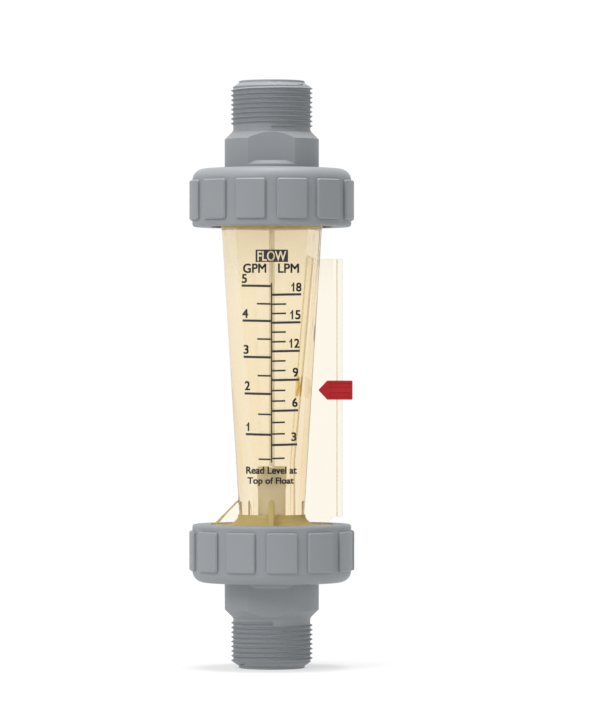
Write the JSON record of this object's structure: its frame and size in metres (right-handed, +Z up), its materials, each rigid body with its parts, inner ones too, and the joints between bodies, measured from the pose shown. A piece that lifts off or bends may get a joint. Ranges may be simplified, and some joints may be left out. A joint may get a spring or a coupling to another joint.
{
  "type": "flow indicator",
  "caption": "In-line flow indicator: clear tapered tube with a float and a printed scale, a sliding pointer on a side fin, and a threaded union end above and below.",
  "frame": {"origin": "centre of the lower pipe end's face", "axes": "+Z up along the flow axis, -Y out of the face that carries the scale, +X towards the fin and pointer"},
  "size_m": [0.0536, 0.0536, 0.1906],
  "materials": {
    "grey_plastic": "satin moulded",
    "amber_plastic": "clear polished",
    "holder_plastic": "satin moulded",
    "seal_rubber": "matte",
    "steel": "ground",
    "red_plastic": "satin moulded",
    "black_ink": "printed"
  },
  "bodies": {
    "lower_adapter": {"lower_pipe_adapter": "grey_plastic", "lower_seal_ring": "seal_rubber"},
    "lower_nut": {"lower_union_nut": "grey_plastic"},
    "meter": {"meter_body": "amber_plastic", "lower_rod_holder": "holder_plastic", "upper_rod_holder": "holder_plastic", "lower_float_stop": "seal_rubber", "upper_float_stop": "seal_rubber", "guide_rod": "steel", "scale_line": "black_ink", "gallon_marks": "black_ink", "litre_marks": "black_ink"},
    "float": {"float": "steel"},
    "pointer": {"flow_pointer": "red_plastic"},
    "upper_adapter": {"upper_pipe_adapter": "grey_plastic", "upper_seal_ring": "seal_rubber"},
    "upper_nut": {"upper_union_nut": "grey_plastic"}
  },
  "joints": [
    {"name": "lower_nut_turn", "type": "hinge", "parent": "lower_adapter", "child": "lower_nut", "pos_m": [0, 0, 0.0375], "axis": [0, 0, -1], "range_deg": [0, 1080]},
    {"name": "body_lift", "type": "slide", "parent": "lower_adapter", "child": "meter", "axis": [0, 0, 1], "range_m": [0, 0.0091]},
    {"name": "upper_nut_turn", "type": "hinge", "parent": "upper_adapter", "child": "upper_nut", "pos_m": [0, 0, 0.1531], "axis": [0, 0, 1], "range_deg": [0, 1080]},
    {"name": "outlet_lift", "type": "slide", "parent": "meter", "child": "upper_adapter", "axis": [0, 0, 1], "range_m": [0, 0.0091]},
    {"name": "float_rise", "type": "slide", "parent": "meter", "child": "float", "axis": [0, 0, 1], "range_m": [0, 0.082]},
    {"name": "pointer_slide", "type": "slide", "parent": "meter", "child": "pointer", "axis": [0, 0, 1], "range_m": [-0.0378, 0.0335]}
  ],
  "couplings": [
    {"joint": "body_lift", "follows": "lower_nut_turn", "m_per_rad": 0.00047746},
    {"joint": "outlet_lift", "follows": "upper_nut_turn", "m_per_rad": 0.00047746}
  ]
}
